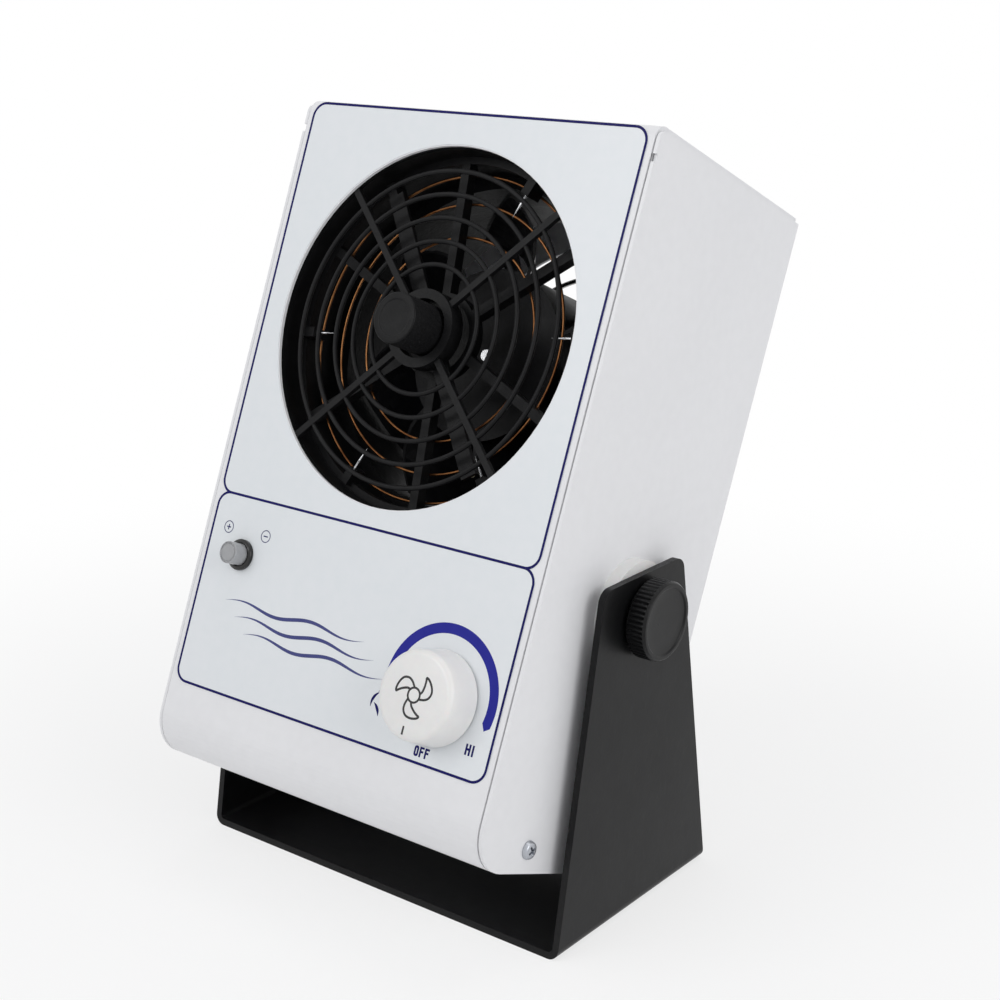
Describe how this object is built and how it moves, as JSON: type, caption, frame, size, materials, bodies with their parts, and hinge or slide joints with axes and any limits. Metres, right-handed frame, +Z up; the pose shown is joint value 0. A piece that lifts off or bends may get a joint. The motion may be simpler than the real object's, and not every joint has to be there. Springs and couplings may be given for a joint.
{
  "type": "ionizing blower",
  "caption": "Bench ionizing blower: a sheet-steel housing with a round air outlet, tilting in a U bracket with two clamp knobs, a speed knob and a lamp.",
  "frame": {"origin": "centre of the underside of the bracket's base", "axes": "+Z up, -Y towards the user (the side the air blows to), +X along the tilt axis, to the right seen from the front"},
  "size_m": [0.1836, 0.1867, 0.268],
  "materials": {
    "bracket_paint": "semi-gloss black paint",
    "housing_paint": "smooth white powder paint",
    "label_film": "pale printed film, satin",
    "black_moulding": "satin black moulding",
    "fan_casting": "black painted die casting",
    "fan_moulding": "satin black moulding",
    "knob_black": "matt black moulding",
    "white_moulding": "white moulding, light gloss",
    "clear_lens": "clear moulding",
    "bright_steel": "bright",
    "zinc_steel": "bright zinc plate",
    "guard_wire": "bright nickel plate",
    "copper_wire": "bare copper",
    "brass_parts": "turned brass",
    "potting": "black potting resin",
    "board_laminate": "green solder resist",
    "bristle": "nylon bristle"
  },
  "bodies": {
    "bracket": {"bracket": "bracket_paint"},
    "cleaning_brush": {"cleaning_knob": "knob_black", "cleaning_shaft": "zinc_steel", "brush_arm": "black_moulding", "brush_tufts": "bristle"},
    "fan_rotor": {"impeller": "fan_moulding", "fan_shaft": "bright_steel"},
    "speed_control": {"speed_knob": "white_moulding", "pot_shaft": "zinc_steel"},
    "left_clamp": {"clamp_knob_left": "knob_black", "clamp_stud_left": "zinc_steel"},
    "right_clamp": {"clamp_knob_right": "knob_black", "clamp_stud_right": "zinc_steel"},
    "housing": {"front_shell": "housing_paint", "rear_shell": "housing_paint", "label_overlay": "label_film", "outlet_grille": "black_moulding", "air_duct": "black_moulding", "emitter_carrier": "black_moulding", "emitter_needles": "bright_steel", "wire_rings": "copper_wire", "fan_frame": "fan_casting", "fan_stator": "copper_wire", "fan_bearings": "bright_steel", "fan_studs": "zinc_steel", "fan_nuts": "zinc_steel", "inlet_guard": "guard_wire", "guard_screws": "zinc_steel", "indicator_bezel": "black_moulding", "indicator_lens": "clear_lens", "indicator_nut": "zinc_steel", "potentiometer": "zinc_steel", "pot_nut": "zinc_steel", "high_voltage_module": "potting", "control_board": "board_laminate", "board_standoffs": "brass_parts", "power_inlet": "black_moulding", "inlet_pins": "brass_parts", "inlet_screws": "zinc_steel", "case_screws": "zinc_steel", "pivot_spacer_left": "white_moulding", "pivot_spacer_right": "white_moulding", "pivot_nuts": "zinc_steel"}
  },
  "joints": [
    {"name": "housing_tilt", "type": "hinge", "parent": "bracket", "child": "housing", "pos_m": [0, 0, 0.1115], "axis": [1, 0, 0], "range_deg": [-66.6, 68.4]},
    {"name": "fan_spin", "type": "hinge", "parent": "housing", "child": "fan_rotor", "pos_m": [0, 0.0335, 0.17883], "axis": [0, -0.9178, 0.3971], "continuous": true},
    {"name": "brush_turn", "type": "hinge", "parent": "housing", "child": "cleaning_brush", "pos_m": [0, -0.01698, 0.20068], "axis": [0, -0.9178, 0.3971], "continuous": true},
    {"name": "speed_turn", "type": "hinge", "parent": "housing", "child": "speed_control", "pos_m": [0.0457, -0.06345, 0.0933], "axis": [0, 0.9178, -0.3971], "range_deg": [0, 300]},
    {"name": "left_clamp_turn", "type": "hinge", "parent": "housing", "child": "left_clamp", "pos_m": [-0.08275, 0, 0.1115], "axis": [-1, 0, 0], "range_deg": [0, 360]},
    {"name": "right_clamp_turn", "type": "hinge", "parent": "housing", "child": "right_clamp", "pos_m": [0.08275, 0, 0.1115], "axis": [1, 0, 0], "range_deg": [0, 360]}
  ]
}
